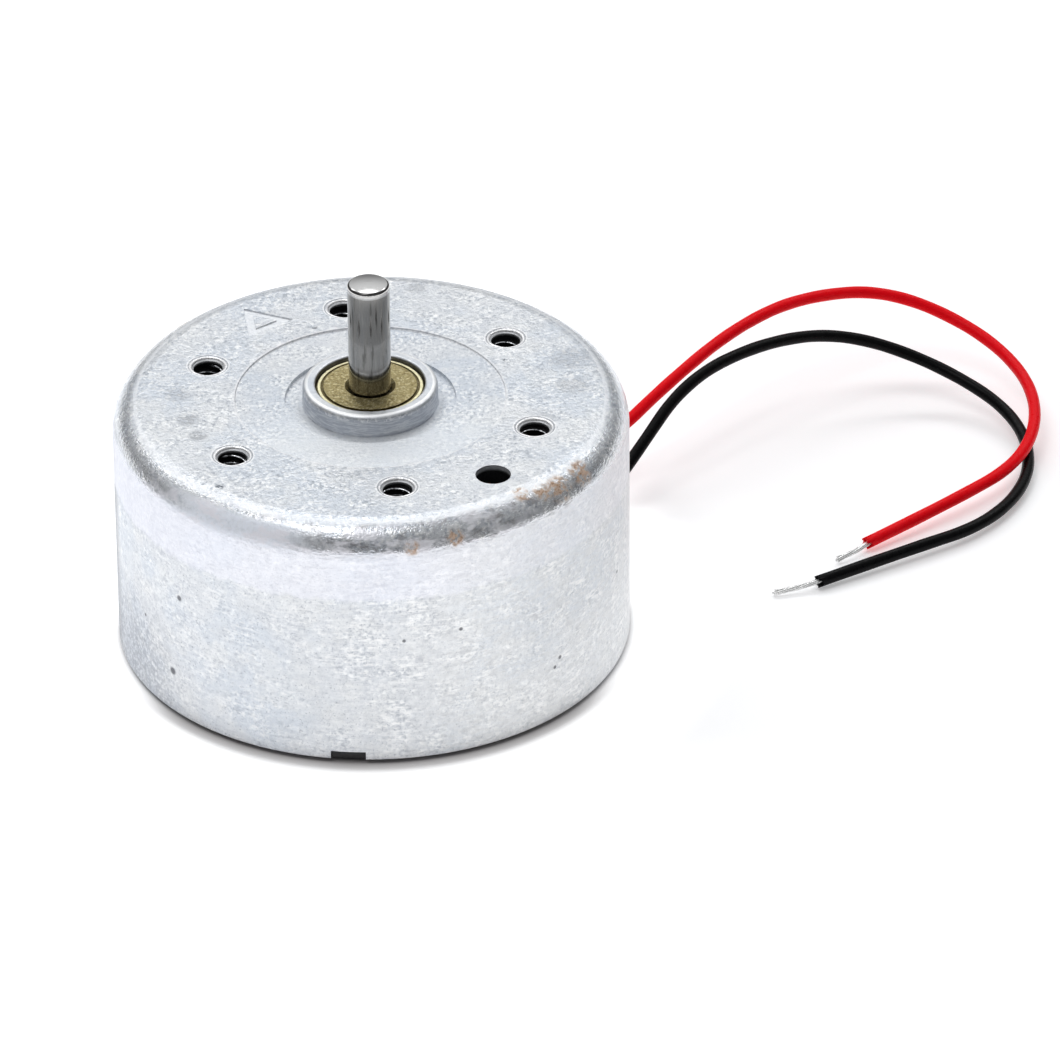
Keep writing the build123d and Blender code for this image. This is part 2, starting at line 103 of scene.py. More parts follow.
# Light: brightness of the studio by direction, and its two lamps, in metres.
SKY_COLOUR = (0.97, 0.985, 1.0, 1.0)
SKY_FACING = Vector((0.0, 0.843, 0.537))
SKY_EDGE = (0.3, 0.9)
SKY_DIM = 0.34
SKY_BRIGHT = 0.92
HORIZON_EDGE = (0.1, 0.72)
HORIZON_DIM = 0.2
BACKGROUND_SEEN = 1.0
STRIP_PLACE = (0.0, 0.42, 0.56)
STRIP_SIZE = (1.0, 0.13)
STRIP_RADIANCE = 3.4
KEY_PLACE = (-0.16, -0.13, 0.62)
KEY_SIZE = (0.3, 0.3)
KEY_RADIANCE = 3.4

# Floor, in metres where no other unit is given. Its glow is weaker round the leads, which keeps
# their shadows.
FLOOR_HALF = 0.6
TABLE_GLOW = 0.6
TABLE_GLOW_LEADS = 0.28
LEADS_START_R = (14.5, 18.5)  # millimetres from the shaft's axis
LEADS_MIDDLE = (0.026, 0.009, 0.0)
LEADS_EDGE = (0.032, 0.019)
CONTACT_REACH = (0.15, 1.0)  # contact shadow, millimetres out from the can's wall
CONTACT_FRONT = (-0.004, -0.009)  # the shadow is only on the -Y side
CONTACT_GLOW = 0.35  # share of the glow that is left in it


# Node materials ---------------------------------------------------------------------------------


def srgb(red, green, blue):
    """A colour given as it is seen, 0 to 255, as the linear numbers that Blender wants."""
    def linear(seen):
        share = seen / 255
        return share / 12.92 if share <= 0.04045 else ((share + 0.055) / 1.055) ** 2.4
    return (linear(red), linear(green), linear(blue), 1.0)


class Finish:
    """One Principled shader and the patterns that feed it, all in the object's own coordinates."""

    def __init__(self, name, colour, roughness, metallic=0.0, sockets=None):
        self.material = bpy.data.materials.new("finish_" + name)
        self.material.use_nodes = True
        self.tree = self.material.node_tree
        self.shader = self.tree.nodes["Principled BSDF"]
        self.shader.inputs["Base Color"].default_value = colour
        self.shader.inputs["Roughness"].default_value = roughness
        self.shader.inputs["Metallic"].default_value = metallic
        for socket, value in (sockets or {}).items():
            self.shader.inputs[socket].default_value = value
        self.colour = colour
        self.roughness = roughness
        self.place = self.node("ShaderNodeTexCoord").outputs["Object"]
        self.heights = []

    def node(self, kind, inputs=None, **settings):
        """A new node; inputs are numbers or other nodes' outputs."""
        made = self.tree.nodes.new(kind)
        for key, value in settings.items():
            setattr(made, key, value)
        for key, value in (inputs or {}).items():
            if isinstance(value, bpy.types.NodeSocket):
                self.tree.links.new(value, made.inputs[key])
            else:
                made.inputs[key].default_value = value
        return made

    def math(self, operation, first, second=0.0):
        inputs = {0: first, 1: second}
        return self.node("ShaderNodeMath", inputs, operation=operation).outputs[0]

    def product(self, *shares):
        """All the shares multiplied."""
        return functools.reduce(lambda first, second: self.math("MULTIPLY", first, second), shares)

    def stretched(self, stretch):
        """The place with each axis squeezed: a pattern runs along the axis with the small number."""
        return self.node(
            "ShaderNodeVectorMath", {0: self.place, 1: stretch}, operation="MULTIPLY"
        ).outputs[0]

    def noise(self, size, detail=2.0, stretch=(1, 1, 1), seed=0.0):
        """Soft blotches about size millimetres across, 0 to 1."""
        vector = self.node(
            "ShaderNodeVectorMath",
            {0: self.stretched(stretch), 1: (seed, seed * 0.7, seed * 1.3)},
            operation="ADD",
        ).outputs[0]
        return self.node(
            "ShaderNodeTexNoise",
            {"Vector": vector, "Scale": 1 / (size * MM), "Detail": detail, "Roughness": 0.6},
        ).outputs["Fac"]

    def cells(self, size, output="Distance"):
        """Cells about size millimetres across."""
        inputs = {"Vector": self.place, "Scale": 1 / (size * MM)}
        return self.node("ShaderNodeTexVoronoi", inputs).outputs[output]

    def ramp(self, value, start, stop, low=0.0, high=1.0):
        """The value from start to stop eased into low to high."""
        return self.node(
            "ShaderNodeMapRange",
            {"Value": value, "From Min": start, "From Max": stop, "To Min": low, "To Max": high},
            interpolation_type="SMOOTHSTEP",
        ).outputs["Result"]

    def mix(self, share, first, second):
        """Two colours mixed by a share."""
        made = self.node("ShaderNodeMix", data_type="RGBA")
        for index, value in ((0, share), (6, first), (7, second)):
            if isinstance(value, bpy.types.NodeSocket):
                self.tree.links.new(value, made.inputs[index])
            else:
                made.inputs[index].default_value = value
        return made.outputs[2]

    def tint(self, share, colour):
        """Mixes a colour over what the base colour has so far."""
        base = self.shader.inputs["Base Color"]
        so_far = base.links[0].from_socket if base.links else self.colour
        self.tree.links.new(self.mix(share, so_far, colour), base)

    def roughen(self, pattern, low, high):
        """Roughness from low to high as the pattern goes from 0.3 to 0.7."""
        self.tree.links.new(self.ramp(pattern, 0.3, 0.7, low, high), self.shader.inputs["Roughness"])

    def rough_where(self, share, value):
        """Roughness goes to a value where the share is 1."""
        rough = self.shader.inputs["Roughness"]
        so_far = rough.links[0].from_socket if rough.links else self.roughness
        made = self.node("ShaderNodeMix", {0: share, 3: value}, data_type="FLOAT")
        if isinstance(so_far, bpy.types.NodeSocket):
            self.tree.links.new(so_far, made.inputs[2])
        else:
            made.inputs[2].default_value = so_far
        self.tree.links.new(made.outputs[0], rough)

    def bump(self, height, depth):
        """Adds a relief, its depth in millimetres."""
        inputs = {"Height": height, "Distance": depth * MM, "Strength": 1.0}
        if self.heights:
            inputs["Normal"] = self.heights[-1]
        self.heights.append(self.node("ShaderNodeBump", inputs).outputs["Normal"])
        self.tree.links.new(self.heights[-1], self.shader.inputs["Normal"])

    def polar(self):
        """Radius, angle in degrees and height of the surface point, in millimetres."""
        parts = self.node("ShaderNodeSeparateXYZ", {0: self.place}).outputs
        across = self.node("ShaderNodeCombineXYZ", {0: parts[0], 1: parts[1]}).outputs[0]
        radius = self.node("ShaderNodeVectorMath", {0: across}, operation="LENGTH").outputs["Value"]
        angle = self.math("ARCTAN2", parts[1], parts[0])
        return (
            self.math("DIVIDE", radius, MM),
            self.math("DEGREES", angle),
            self.math("DIVIDE", parts[2], MM),
        )

    def between(self, value, start, stop, ease):
        """1 where the value lies between start and stop, eased at both ends."""
        rising = self.ramp(value, start - ease, start + ease)
        falling = self.ramp(value, stop - ease, stop + ease, 1.0, 0.0)
        return self.math("MULTIPLY", rising, falling)

    def near(self, point, radius):
        """1 at a point given in millimetres, 0 beyond the radius."""
        away = self.node(
            "ShaderNodeVectorMath",
            {0: self.place, 1: [value * MM for value in point]},
            operation="DISTANCE",
        ).outputs["Value"]
        return self.ramp(away, radius * 0.45 * MM, radius * MM, 1.0, 0.0)


# Pits in the can's wall: angle in degrees, height and radius in millimetres.
WALL_PITS = [
    (-138.3, 6.79, 0.2), (-141.3, 2.44, 0.26), (-83.7, 6.74, 0.12), (-70.9, 6.96, 0.13),
    (-44.9, 3.42, 0.14), (-46.5, 3.02, 0.13), (-152.0, 4.4, 0.12), (-20.0, 5.3, 0.12),
    (24.0, 7.5, 0.15), (118.0, 5.0, 0.16), (163.0, 8.1, 0.14),
]
# Knocks on the plate: angle in degrees, distance from the axis and radius in millimetres, darkness.
PLATE_KNOCKS = [
    (-132.0, 10.61, 0.26, 1.0), (177.3, 9.07, 0.8, 0.35), (-168.0, 8.77, 0.7, 0.45),
    (-158.0, 8.75, 0.6, 0.45), (18.0, 9.9, 1.3, 0.3), (4.0, 9.6, 1.1, 0.28), (25.5, 7.1, 0.16, 0.8),
    (112.0, 6.9, 0.2, 0.8), (-15.0, 8.4, 0.9, 0.2), (77.0, 10.2, 0.7, 0.3),
]
# Rust on the can's corner: angle round the can and tilt on the corner in degrees, radius in millimetres.
RUST = [
    (-34.0, 48.0, 0.75), (-42.0, 46.0, 0.8), (-47.0, 56.0, 0.55), (-52.0, 70.0, 0.5),
    (-71.5, 28.0, 0.5), (-81.5, 20.0, 0.42), (140.0, 44.0, 0.5), (61.0, 38.0, 0.45),
]


def wall_point(turn, height):
    """A point on the can's wall from its angle in degrees and height in millimetres."""
    angle = math.radians(turn)
    return (CAN_R * math.cos(angle), CAN_R * math.sin(angle), height)


def plate_point(turn, reach):
    """A point on the can's flat front from its angle in degrees and distance from the axis."""
    angle = math.radians(turn)
    return (reach * math.cos(angle), reach * math.sin(angle), PLATE_Z)


def corner_point(turn, tilt):
    """A point on the can's rounded corner; tilt 0 is at the wall and 90 at the plate."""
    angle, rise = math.radians(turn), math.radians(tilt)
    radius = CORNER_CENTRE_R + CORNER_R * math.cos(rise)
    height = CORNER_CENTRE_Z + CORNER_R * math.sin(rise)
    return (radius * math.cos(angle), radius * math.sin(angle), height)


# Painted shade for zinc deep in the bores and inside the can.
UNLIT_ZINC = srgb(26, 26, 28)


def zinc_patterns(made):
    """The places and grains that every part of the can's finish shares."""
    radius, angle, height = made.polar()
    return SimpleNamespace(
        radius=radius,
        angle=angle,
        height=height,
        wall=made.ramp(radius, 12.0, 12.15),
        plate=made.product(made.ramp(radius, 11.4, 11.0), made.ramp(height, 12.35, 12.6)),
        corner=made.product(made.ramp(radius, 10.9, 11.3), made.between(height, 11.45, 12.62, 0.2)),
        rough_skin=made.ramp(radius, BOSS_R + 0.1, BOSS_R + 0.3, 0.3, 1.0),
        fleck=made.noise(0.2, 2.0),
        grain=made.noise(0.11, 2.0, seed=9.0),
        streak=made.noise(0.34, 3.0, stretch=(0.5, 0.5, 2.2), seed=3.0),
    )


def zinc_spangle(made, zinc):
    """Clouds, flecks and chips of the zinc all over, and upright streaks on the wall."""
    cloud = made.noise(5.0, 2.0, seed=1.0)
    patch = made.ramp(made.noise(1.3, 3.0, seed=19.0), 0.38, 0.62, 0.3, 1.0)
    calm = made.product(zinc.wall, made.between(zinc.angle, -175.0, -95.0, 15.0))
    patch = made.product(patch, made.ramp(calm, 0.0, 1.0, 1.0, 0.5))
    made.tint(made.ramp(cloud, 0.44, 0.58, 0.0, 0.55), srgb(206, 214, 224))
    made.tint(made.ramp(made.noise(2.4, 3.0, seed=23.0), 0.5, 0.62, 0.0, 0.4), srgb(230, 231, 231))
    skin_patch = made.product(zinc.rough_skin, patch)
    made.tint(made.product(skin_patch, made.ramp(zinc.fleck, 0.53, 0.63, 0.0, 0.9)), srgb(246, 247, 248))
    made.tint(made.product(skin_patch, made.ramp(zinc.fleck, 0.46, 0.34, 0.0, 0.75)), srgb(168, 174, 183))
    dark_grain = made.ramp(zinc.grain, 0.42, 0.28, 0.0, 0.6)
    made.tint(made.product(zinc.rough_skin, dark_grain), srgb(150, 156, 166))
    chip = made.cells(0.15, output="Color")
    made.tint(made.product(skin_patch, made.ramp(chip, 0.68, 0.8, 0.0, 0.6)), srgb(252, 253, 253))
    made.tint(made.product(skin_patch, made.ramp(chip, 0.3, 0.2, 0.0, 0.3)), srgb(166, 173, 182))
    wall_patch = made.product(zinc.wall, patch)
    made.tint(made.product(wall_patch, made.ramp(zinc.streak, 0.46, 0.34, 0.0, 0.7)), srgb(176, 181, 191))
    made.tint(made.product(wall_patch, made.ramp(zinc.streak, 0.54, 0.64, 0.0, 0.85)), srgb(250, 250, 250))


def zinc_wall(made, zinc):
    """Tones of the wall by angle and height, set to match the photograph; not known wear. Painted shade
    low down and in a stripe towards -X.
    """
    warm = made.product(zinc.wall, made.between(zinc.angle, -80.0, 70.0, 14.0))
    made.tint(made.product(warm, made.ramp(zinc.streak, 0.6, 0.4, 0.2, 0.55)), srgb(229, 229, 228))
    # Painted shade low on the wall from -Y towards -X, broken by flecks.
    low = made.ramp(zinc.height, 7.0, 1.5)
    painted_low_shade = made.product(zinc.wall, made.ramp(zinc.angle, -130.0, -158.0), low)
    made.tint(made.product(painted_low_shade, made.ramp(zinc.fleck, 0.6, 0.44, 0.25, 0.6)), srgb(132, 136, 146))
    # Painted shade: a dark stripe down the wall at about -X.
    painted_edge_stripe = made.product(zinc.wall, made.ramp(zinc.angle, -166.0, -176.0))
    made.tint(made.product(painted_edge_stripe, 0.7), srgb(128, 132, 139))
    high = made.ramp(zinc.height, 8.2, 9.6)
    shoulder = made.product(zinc.wall, made.ramp(zinc.angle, -122.0, -150.0), high)
    made.tint(made.product(shoulder, made.ramp(zinc.fleck, 0.6, 0.4, 0.3, 0.7)), srgb(186, 191, 202))
    # A lighter band round the upper wall with a wandering lower edge, stronger from -Y round to -X.
    wander = made.product(made.noise(0.7, 3.0, seed=13.0), 0.6)
    band = made.between(made.math("ADD", zinc.height, wander), 9.3, 12.0, 0.16)
    upper_band = made.product(band, zinc.wall)
    made.tint(made.product(upper_band, made.ramp(zinc.angle, -60.0, -85.0, 0.25, 0.55)), srgb(238, 239, 248))
    made.roughen(made.noise(0.4, 3.0, seed=5.0), 0.34, 0.5)


def zinc_boss(made, zinc):
    """The boss, a smooth dull side with a bright rim and a painted highlight along its top edge, and the
    dish round it, with painted light on the -Y side.
    """
    drawn = made.product(
        made.ramp(zinc.radius, BOSS_R + 0.07, BOSS_R + 0.03),
        made.ramp(zinc.height, BOSS_TOP_Z - 0.08, BOSS_TOP_Z - 0.14),
    )
    line = made.noise(0.16, 3.0, stretch=(0.25, 0.25, 2.0), seed=31.0)
    made.tint(made.product(drawn, made.ramp(line, 0.38, 0.6, 0.15, 1.0)), srgb(186, 190, 198))
    worn_rim = made.product(drawn, made.ramp(zinc.height, 13.12, 13.24), made.ramp(zinc.fleck, 0.5, 0.6))
    made.tint(made.product(worn_rim, 0.6), srgb(250, 250, 251))
    # Painted highlight along the boss's top outer edge.
    edge = made.product(made.between(zinc.radius, 2.94, 3.1, 0.03), made.ramp(zinc.height, 13.36, 13.4))
    made.tint(made.product(edge, 0.7), srgb(255, 255, 255))
    made.rough_where(edge, 0.5)
    dish = made.product(made.between(zinc.radius, 3.3, 6.3, 0.1), made.ramp(zinc.height, 12.2, 12.3))
    made.rough_where(dish, 0.6)
    # Painted light on the dish's -Y side.
    front = made.between(zinc.angle, -150.0, -30.0, 30.0)
    made.tint(made.product(dish, front, 0.55), srgb(246, 249, 252))


def zinc_corner(made, zinc):
    """The corner: dark smears, a painted highlight low on it from -Y towards -X, and dull white patches on
    the -Y side; gives the share of dull patches and painted highlight.
    """
    # Dark smears on the corner, from -Y towards +X.
    smear = made.ramp(made.noise(0.5, 4.0, stretch=(0.6, 0.6, 1.4), seed=7.0), 0.5, 0.62)
    front = made.between(zinc.angle, -112.0, -30.0, 16.0)
    dark_smear = made.product(zinc.corner, smear, front, made.ramp(zinc.fleck, 0.35, 0.55, 0.3, 0.6))
    made.tint(dark_smear, srgb(128, 122, 122))
    # Painted highlight: dull white zinc on the lower corner from -Y towards -X, less metallic so it shows.
    painted_corner_highlight = made.product(
        zinc.corner, made.between(zinc.angle, -140.0, -106.0, 10.0), made.ramp(zinc.height, 12.5, 12.3)
    )
    made.tint(made.product(painted_corner_highlight, made.ramp(zinc.fleck, 0.4, 0.6, 0.75, 0.95)), srgb(240, 245, 255))
    dull_zinc = made.ramp(made.noise(0.75, 4.0, stretch=(0.6, 0.6, 1.5), seed=17.0), 0.46, 0.62)
    smeared = made.product(zinc.corner, dull_zinc, made.between(zinc.angle, -150.0, -60.0, 22.0), 0.8)
    made.tint(smeared, srgb(243, 242, 249))
    made.rough_where(zinc.corner, 0.24)
    made.rough_where(painted_corner_highlight, 0.5)
    return made.math("MAXIMUM", painted_corner_highlight, smeared)


def zinc_damage(made, zinc):
    """Rust spots on the corner, dark pits in the wall and dark smudges on the plate."""
    blotch = made.ramp(made.noise(0.3, 4.0, seed=11.0), 0.43, 0.58)
    for turn, tilt, size in RUST:
        patina = made.near(corner_point(turn, tilt), size * 1.1)
        rust = made.product(patina, blotch)
        made.tint(made.product(patina, 0.12), srgb(214, 190, 160))
        made.tint(made.product(rust, 0.62), srgb(202, 160, 118))
        made.tint(made.product(rust, made.ramp(zinc.grain, 0.5, 0.62, 0.0, 0.6)), srgb(136, 96, 64))
        made.rough_where(rust, 0.7)
    for turn, rise, size in WALL_PITS:
        made.tint(made.product(made.near(wall_point(turn, rise), size), 0.8), srgb(66, 68, 76))
    for turn, reach, size, dark in PLATE_KNOCKS:
        spot = made.near(plate_point(turn, reach), size)
        made.tint(made.product(spot, made.ramp(zinc.fleck, 0.4, 0.5), dark), srgb(104, 110, 119))


def zinc_bore_edges(made, zinc):
    """Round each screw bore: a painted highlight at the edge, painted shade in a ring outside the lip, and
    painted shade in the bore.
    """
    from_bore = screw_bore_distance(made, zinc.radius, zinc.angle)
    # Painted highlight round the edge of the bore.
    bore_edge_highlight = made.product(zinc.plate, made.between(from_bore, 0.96, 1.03, 0.03))
    made.tint(made.product(bore_edge_highlight, 0.7), srgb(254, 254, 255))
    # Painted shade in a ring at the foot of the lip.
    crevice = made.product(zinc.plate, made.between(from_bore, 0.9, 0.97, 0.02))
    made.tint(made.product(crevice, 0.45), srgb(110, 114, 122))
    # Painted shade in the mouth of the bore.
    mouth = made.product(made.ramp(from_bore, 0.86, 0.8), made.ramp(zinc.height, 12.68, 12.6))
    made.tint(made.product(mouth, 0.95), UNLIT_ZINC)


def zinc_plate(made, zinc):
    """The stamped triangle's bright floor and a painted highlight on the rim of the dish; gives the rim's
    share.
    """
    sunk = made.ramp(zinc.height, PLATE_Z - 0.03, PLATE_Z - 0.05)
    stamped = made.product(sunk, made.ramp(zinc.radius, 7.0, 7.1), zinc.plate)
    made.tint(made.product(stamped, 0.75), srgb(240, 242, 245))
    made.rough_where(stamped, 0.55)
    # Painted highlight on the rim of the dish, broken by flecks and less metallic.
    dish_rim_highlight = made.product(zinc.plate, made.between(zinc.radius, DISH_R - 0.06, DISH_R + 0.08, 0.03))
    made.tint(made.product(dish_rim_highlight, made.ramp(zinc.fleck, 0.35, 0.6, 0.3, 0.8)), srgb(250, 251, 253))
    made.rough_where(dish_rim_highlight, 0.6)
    return dish_rim_highlight


def zinc_shade(made, zinc):
    """Painted shade: a dark ring on the boss round the bearing, and the dark bores and inside of the can.
    """
    # Painted shade in a ring on the boss round the bearing.
    bearing_ring_shade = made.product(
        made.between(zinc.radius, 2.3, 2.72, 0.04),
        made.ramp(zinc.height, BOSS_TOP_Z - 0.02, BOSS_TOP_Z - 0.1),
    )
    made.tint(made.product(bearing_ring_shade, 0.8), srgb(58, 52, 36))
    bores = made.product(made.ramp(zinc.radius, 11.5, 11.3), made.ramp(zinc.radius, 4.6, 4.9))
    made.tint(made.product(bores, made.ramp(zinc.height, 12.52, 12.38), 0.96), UNLIT_ZINC)


def zinc_steel():
    """Galvanised deep-drawn steel: bright and dark flecks, streaks round the wall, dark smears, rust, and
    painted light and shade.
    """
    made = Finish("zinc_steel", srgb(219, 222, 226), 0.36, ZINC_METALLIC)
    zinc = zinc_patterns(made)
    zinc_spangle(made, zinc)
    zinc_wall(made, zinc)
    zinc_boss(made, zinc)
    corner_dull_and_highlight = zinc_corner(made, zinc)
    zinc_damage(made, zinc)
    zinc_bore_edges(made, zinc)
    dish_rim_highlight = zinc_plate(made, zinc)
    zinc_shade(made, zinc)
    # Dull zinc and the painted highlights are less metallic, so their pale colour shows.
    dull = made.math("MAXIMUM", corner_dull_and_highlight, made.product(dish_rim_highlight, 0.75))
    metallic = made.ramp(dull, 0.0, 1.0, ZINC_METALLIC, DULL_METALLIC)
    made.tree.links.new(metallic, made.shader.inputs["Metallic"])
    made.bump(made.product(zinc.fleck, zinc.rough_skin), 0.025)
    made.bump(made.product(zinc.grain, zinc.rough_skin), 0.018)
    made.bump(made.product(zinc.streak, zinc.wall), 0.02)
    return made.material


def screw_bore_distance(made, radius, angle):
    """Distance in millimetres from the nearest screw bore's axis."""
    turns = made.math("DIVIDE", made.math("SUBTRACT", angle, SCREW_FIRST_ANGLE), 360 / SCREW_COUNT)
    part = made.math("SUBTRACT", turns, made.math("ROUND", turns))
    off_axis = made.product(part, math.radians(360 / SCREW_COUNT))
    along = made.math("SUBTRACT", made.product(radius, made.math("COSINE", off_axis)), SCREW_CIRCLE_R)
    across = made.product(radius, made.math("SINE", off_axis))
    flat = made.node("ShaderNodeCombineXYZ", {0: along, 1: across}).outputs[0]
    return made.node("ShaderNodeVectorMath", {0: flat}, operation="LENGTH").outputs["Value"]


def cut_thread():
    """Freshly cut thread ridges, bright near the mouth of the bore, with painted shade deeper down."""
    made = Finish("cut_thread", srgb(236, 238, 242), 0.2, 1.0)
    height = made.polar()[2]
    burr = made.noise(0.25, 3.0)
    made.tint(made.ramp(burr, 0.5, 0.6), srgb(90, 92, 96))
    # Painted shade deeper in the bore.
    made.tint(made.ramp(height, 12.05, 11.75), srgb(20, 20, 22))
    made.roughen(burr, 0.15, 0.3)
    made.bump(burr, 0.02)
    return made.material


def rolled_lip():
    """The bright lip round the mouth of a screw bore."""
    made = Finish("rolled_lip", srgb(252, 252, 253), 0.34, 0.5)
    worn = made.noise(0.3, 3.0)
    made.tint(made.ramp(worn, 0.55, 0.66, 0.0, 0.6), srgb(176, 180, 188))
    made.roughen(worn, 0.24, 0.4)
    made.bump(worn, 0.01)
    return made.material


def polished_steel():
    """Ground and polished shaft: faint marks along its length, with painted light on its crowned end."""
    made = Finish("polished_steel", srgb(168, 166, 163), 0.1, 1.0)
    radius, _, height = made.polar()
    side = made.ramp(height, 18.72, 18.6)
    line = made.noise(0.2, 3.0, stretch=(1, 1, 0.12))
    mark = made.product(side, made.ramp(line, 0.54, 0.68, 0.0, 0.6))
    made.tint(mark, srgb(96, 94, 92))
    made.tint(made.math("MULTIPLY", side, made.ramp(line, 0.44, 0.34, 0.0, 0.3)), srgb(206, 205, 202))
    # Painted light on the crowned end.
    made.tint(made.ramp(height, 18.62, 18.76, 0.0, 0.8), srgb(222, 221, 220))
    # Painted shade on the rounded rim above a painted highlight line, set to match the photograph.
    rim = made.between(radius, 0.9, 0.985, 0.02)
    made.tint(made.product(rim, made.ramp(height, 18.72, 18.76), 0.9), srgb(46, 45, 46))
    made.tint(made.product(made.between(height, 18.52, 18.66, 0.03), 0.6), srgb(250, 250, 250))
    made.roughen(made.noise(0.25, 3.0, stretch=(1, 1, 0.2), seed=2.0), 0.07, 0.12)
    made.rough_where(side, 0.12)
    made.bump(made.math("MULTIPLY", side, line), 0.0015)
    return made.material


def sintered_bronze():
    """Pressed and sintered bronze: open grain with dark pores, oily."""
    made = Finish("sintered_bronze", srgb(164, 151, 108), 0.4, 0.9)
    radius = made.polar()[0]
    grain = made.noise(0.13, 3.0)
    pore = made.cells(0.16)
    made.tint(made.ramp(grain, 0.52, 0.66, 0.0, 0.8), srgb(218, 208, 168))
    made.tint(made.ramp(grain, 0.46, 0.34, 0.0, 0.7), srgb(116, 102, 62))
    made.tint(made.ramp(pore, 0.25, 0.1, 0.0, 0.6), srgb(78, 66, 38))
    # Painted highlight on the raised rim, painted shade in the groove inside it and at the joint with the
    # boss.
    made.tint(made.product(made.between(radius, 2.36, 2.52, 0.02), 0.85), srgb(250, 244, 205))
    made.tint(made.product(made.between(radius, 2.2, 2.34, 0.02), 0.7), srgb(60, 50, 26))
    made.tint(made.product(made.ramp(radius, 2.53, 2.57), 0.85), srgb(40, 32, 14))
    made.roughen(made.noise(0.2, 3.0, seed=4.0), 0.3, 0.5)
    made.bump(grain, 0.02)
    made.bump(pore, 0.008)
    return made.material


def black_plastic():
    """Moulded nylon with a spark-eroded texture."""
    made = Finish("black_plastic", srgb(38, 38, 40), 0.42)
    texture = made.noise(0.06, 3.0)
    flow = made.noise(1.8, 3.0, stretch=(1, 0.5, 1), seed=2.0)
    made.tint(made.ramp(flow, 0.4, 0.7, 0.0, 0.6), srgb(52, 52, 54))
    made.tint(made.ramp(made.noise(0.5, 4.0, seed=6.0), 0.62, 0.75, 0.0, 0.35), srgb(88, 87, 85))
    made.roughen(flow, 0.34, 0.52)
    made.bump(texture, 0.008)
    return made.material


def washer_steel():
    """Rolled strip, cut and tumbled."""
    made = Finish("washer_steel", srgb(184, 186, 190), 0.3, 1.0)
    rolled = made.noise(0.12, 3.0, stretch=(1, 0.06, 1))
    made.tint(made.ramp(rolled, 0.5, 0.75, 0.0, 0.7), srgb(142, 143, 148))
    made.tint(made.ramp(made.noise(0.7, 4.0, seed=3.0), 0.55, 0.75, 0.0, 0.4), srgb(118, 112, 104))
    made.roughen(rolled, 0.22, 0.42)
    made.bump(rolled, 0.003)
    return made.material


def magnet():
    """Bonded ferrite: dark grey, matt, fine mineral grain."""
    made = Finish("magnet", srgb(62, 60, 62), 0.62, 0.15)
    grain = made.noise(0.08, 4.0)
    made.tint(made.ramp(grain, 0.5, 0.75, 0.0, 0.7), srgb(90, 88, 90))
    made.tint(made.ramp(made.cells(0.3), 0.18, 0.05, 0.0, 0.6), srgb(30, 29, 30))
    made.roughen(made.noise(0.5, 3.0, seed=1.0), 0.5, 0.72)
    made.bump(grain, 0.01)
    return made.material


def core_steel():
    """Punched silicon steel: blue-grey oxide, rolled lines."""
    made = Finish("core_steel", srgb(120, 126, 138), 0.4, 1.0)
    rolled = made.noise(0.1, 3.0, stretch=(1, 0.08, 1))
    made.tint(made.ramp(rolled, 0.5, 0.75, 0.0, 0.6), srgb(92, 98, 112))
    made.tint(made.ramp(made.noise(1.4, 3.0, seed=2.0), 0.5, 0.7, 0.0, 0.5), srgb(128, 116, 104))
    made.roughen(rolled, 0.32, 0.5)
    made.bump(rolled, 0.003)
    return made.material


def insulator():
    """Vulcanised fibre and nylon: warm off-white with short fibres."""
    made = Finish("insulator", srgb(222, 212, 188), 0.55, 0.0, {"Subsurface Weight": 0.08})
    fibre = made.noise(0.05, 4.0, stretch=(1, 0.2, 1))
    made.tint(made.ramp(fibre, 0.5, 0.75, 0.0, 0.5), srgb(190, 174, 140))
    made.tint(made.ramp(made.noise(1.2, 3.0, seed=5.0), 0.5, 0.7, 0.0, 0.3), srgb(232, 226, 210))
    made.roughen(fibre, 0.45, 0.66)
    made.bump(fibre, 0.005)
    return made.material


def copper_wire():
    """Enamelled winding: rows of fine wire under clear brown enamel."""
    enamel = {"Coat Weight": 0.6, "Coat Roughness": 0.12}
    made = Finish("copper_wire", srgb(196, 108, 62), 0.26, 1.0, enamel)
    rows = made.node(
        "ShaderNodeTexWave",
        {"Vector": made.place, "Scale": 1 / (0.9 * MM), "Distortion": 0.6, "Detail": 2.0},
        wave_type="BANDS",
        bands_direction="Z",
    ).outputs["Fac"]
    made.tint(made.ramp(rows, 0.4, 0.0, 0.0, 0.8), srgb(92, 42, 22))
    made.tint(made.ramp(made.noise(0.3, 3.0), 0.5, 0.7, 0.0, 0.5), srgb(220, 140, 84))
    made.roughen(made.noise(0.2, 3.0, seed=2.0), 0.2, 0.36)
    made.bump(rows, 0.04)
    return made.material


def copper():
    """Commutator copper: turned, with brush tracks darkened round it."""
    made = Finish("copper", srgb(214, 138, 98), 0.24, 1.0)
    track = made.noise(0.09, 3.0, stretch=(0.05, 0.05, 1))
    made.tint(made.ramp(track, 0.5, 0.75, 0.0, 0.8), srgb(120, 66, 40))
    made.tint(made.ramp(made.noise(0.4, 3.0, seed=3.0), 0.55, 0.7, 0.0, 0.5), srgb(168, 104, 74))
    made.roughen(track, 0.18, 0.38)
    made.bump(track, 0.004)
    return made.material


def varistor():
    """Fired ceramic ring: dark green-grey, glassy spots."""
    made = Finish("varistor", srgb(66, 74, 72), 0.45)
    grain = made.noise(0.06, 4.0)
    made.tint(made.ramp(grain, 0.5, 0.75, 0.0, 0.7), srgb(104, 112, 108))
    made.tint(made.ramp(made.cells(0.22), 0.2, 0.06, 0.0, 0.5), srgb(34, 38, 38))
    made.roughen(made.noise(0.3, 3.0, seed=4.0), 0.32, 0.58)
    made.bump(grain, 0.006)
    return made.material


